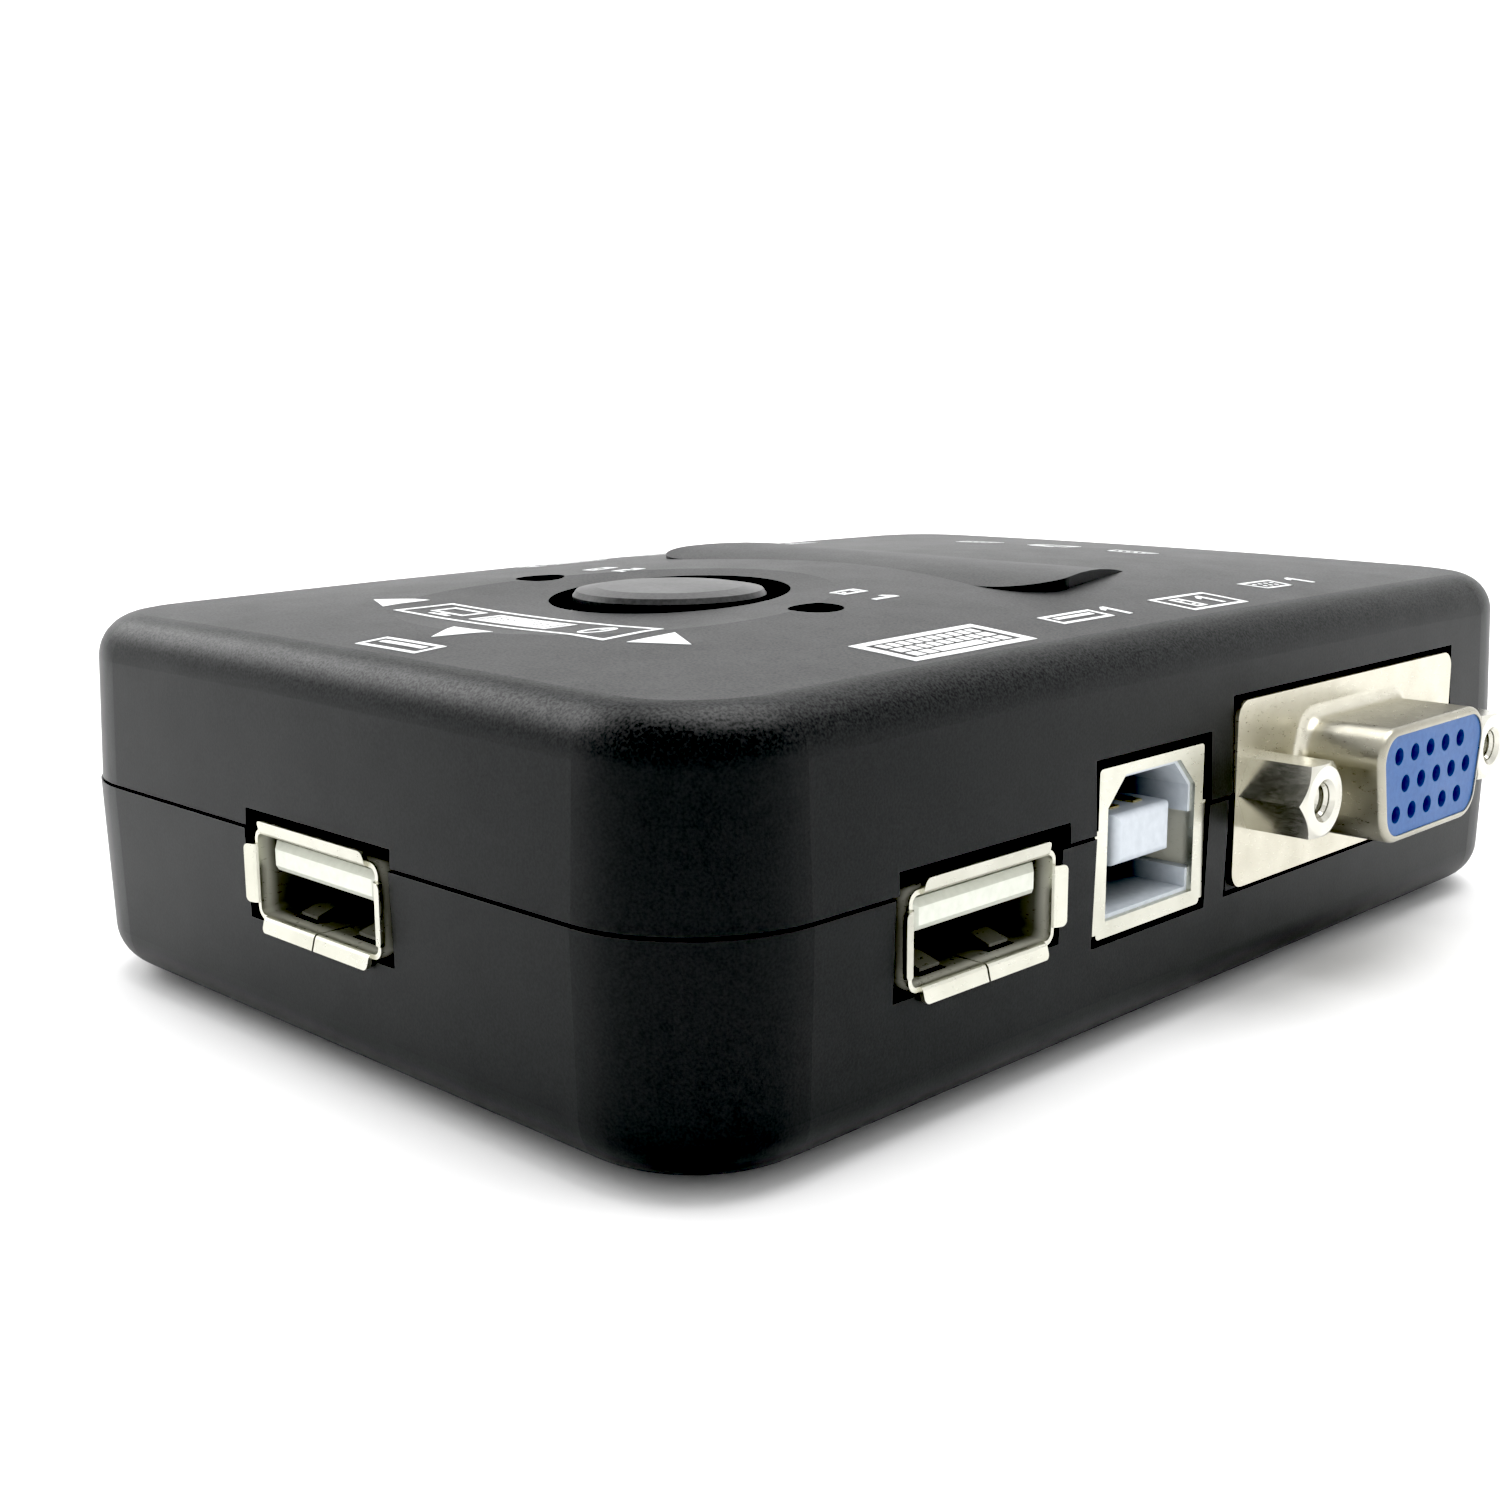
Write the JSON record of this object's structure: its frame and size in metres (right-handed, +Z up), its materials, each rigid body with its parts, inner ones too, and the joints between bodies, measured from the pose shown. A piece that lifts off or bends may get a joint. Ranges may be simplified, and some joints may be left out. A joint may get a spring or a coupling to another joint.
{
  "type": "kvm switch",
  "caption": "Small desktop switch box that shares a keyboard, mouse and monitor between computers, with VGA and USB sockets in its sides and a round push button on its crowned top.",
  "frame": {"origin": "under the middle of the whole object, on the surface that the feet stand on", "axes": "+Z up, +Y towards the monitor socket at the rear, +X towards the first computer's sockets"},
  "size_m": [0.0774, 0.1006, 0.0275],
  "materials": {
    "case_plastic": "fine spark-eroded texture, matt black",
    "button_plastic": "smooth satin black",
    "foot_rubber": "matt black rubber",
    "screw_steel": "zinc plated",
    "board_laminate": "green solder resist",
    "chip_plastic": "moulded epoxy",
    "capacitor_can": "sleeved can",
    "housing_plastic": "black moulding",
    "tinned_metal": "bright tin",
    "lamp_lens": "clear epoxy",
    "nickel_post": "bright nickel",
    "gold_contact": "gold flash",
    "blue_plastic": "moulded blue",
    "lilac_plastic": "moulded, faintly lilac white",
    "ivory_plastic": "moulded off-white",
    "nickel_plate": "pressed and nickel plated",
    "legend_ink": "white pad-printed ink"
  },
  "bodies": {
    "case": {"buffer_capacitor": "capacitor_can", "case_screws": "screw_steel", "foot_front_left": "foot_rubber", "foot_front_right": "foot_rubber", "foot_rear_left": "foot_rubber", "foot_rear_right": "foot_rubber", "indicator_pc1": "lamp_lens", "indicator_pc1_leads": "tinned_metal", "indicator_pc2": "lamp_lens", "indicator_pc2_leads": "tinned_metal", "lower_shell": "case_plastic", "main_board": "board_laminate", "tact_switch": "housing_plastic", "upper_shell": "case_plastic", "usb_a_front_contacts": "gold_contact", "usb_a_front_shell": "nickel_plate", "usb_a_front_tongue": "ivory_plastic", "usb_a_keyboard_contacts": "gold_contact", "usb_a_keyboard_shell": "nickel_plate", "usb_a_keyboard_tongue": "ivory_plastic", "usb_a_mouse_contacts": "gold_contact", "usb_a_mouse_shell": "nickel_plate", "usb_a_mouse_tongue": "ivory_plastic", "usb_b_pc1_contacts": "gold_contact", "usb_b_pc1_insert": "lilac_plastic", "usb_b_pc1_shell": "nickel_plate", "usb_b_pc2_contacts": "gold_contact", "usb_b_pc2_insert": "lilac_plastic", "usb_b_pc2_shell": "nickel_plate", "usb_switch_chip": "chip_plastic", "vga_monitor_housing": "housing_plastic", "vga_monitor_insert": "blue_plastic", "vga_monitor_jackscrews": "nickel_post", "vga_monitor_shell": "nickel_plate", "vga_monitor_tails": "tinned_metal", "vga_pc1_housing": "housing_plastic", "vga_pc1_insert": "blue_plastic", "vga_pc1_jackscrews": "nickel_post", "vga_pc1_shell": "nickel_plate", "vga_pc1_tails": "tinned_metal", "vga_pc2_housing": "housing_plastic", "vga_pc2_insert": "blue_plastic", "vga_pc2_jackscrews": "nickel_post", "vga_pc2_shell": "nickel_plate", "vga_pc2_tails": "tinned_metal", "video_switch_chip_1": "chip_plastic", "video_switch_chip_2": "chip_plastic"},
    "button": {"select_button": "button_plastic", "tact_plunger": "housing_plastic"}
  },
  "joints": [
    {"name": "button_press", "type": "slide", "parent": "case", "child": "button", "axis": [0, 0, -1], "range_m": [0, 0.0007], "stiffness_N_per_m": 2500}
  ]
}
